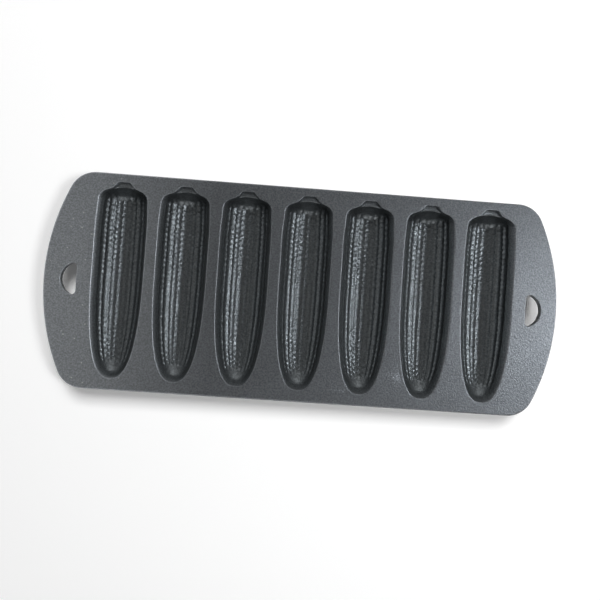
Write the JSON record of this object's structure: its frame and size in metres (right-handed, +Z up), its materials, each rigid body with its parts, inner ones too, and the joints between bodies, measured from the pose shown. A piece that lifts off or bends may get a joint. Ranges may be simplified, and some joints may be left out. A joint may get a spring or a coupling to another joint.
{
  "type": "corn stick pan",
  "caption": "Cast iron baking mould with a row of cob-shaped cups lined with kernel dimples, set in a flat deck with arched ends and D-shaped hang holes.",
  "frame": {"origin": "middle of the pan on the plane that the cups stand on", "axes": "+X along the pan from the first cup to the last, +Y towards the stem ends of the cobs, +Z up out of the cups"},
  "size_m": [0.343, 0.1432, 0.02],
  "materials": {
    "seasoned_iron": "sand-cast, seasoned, low sheen"
  },
  "bodies": {
    "root": {"deck_plate": "seasoned_iron", "left_end_ear": "seasoned_iron", "right_end_ear": "seasoned_iron", "cob_cup_1": "seasoned_iron", "cob_cup_2": "seasoned_iron", "cob_cup_3": "seasoned_iron", "cob_cup_4": "seasoned_iron", "cob_cup_5": "seasoned_iron", "cob_cup_6": "seasoned_iron", "cob_cup_7": "seasoned_iron"}
  },
  "joints": []
}
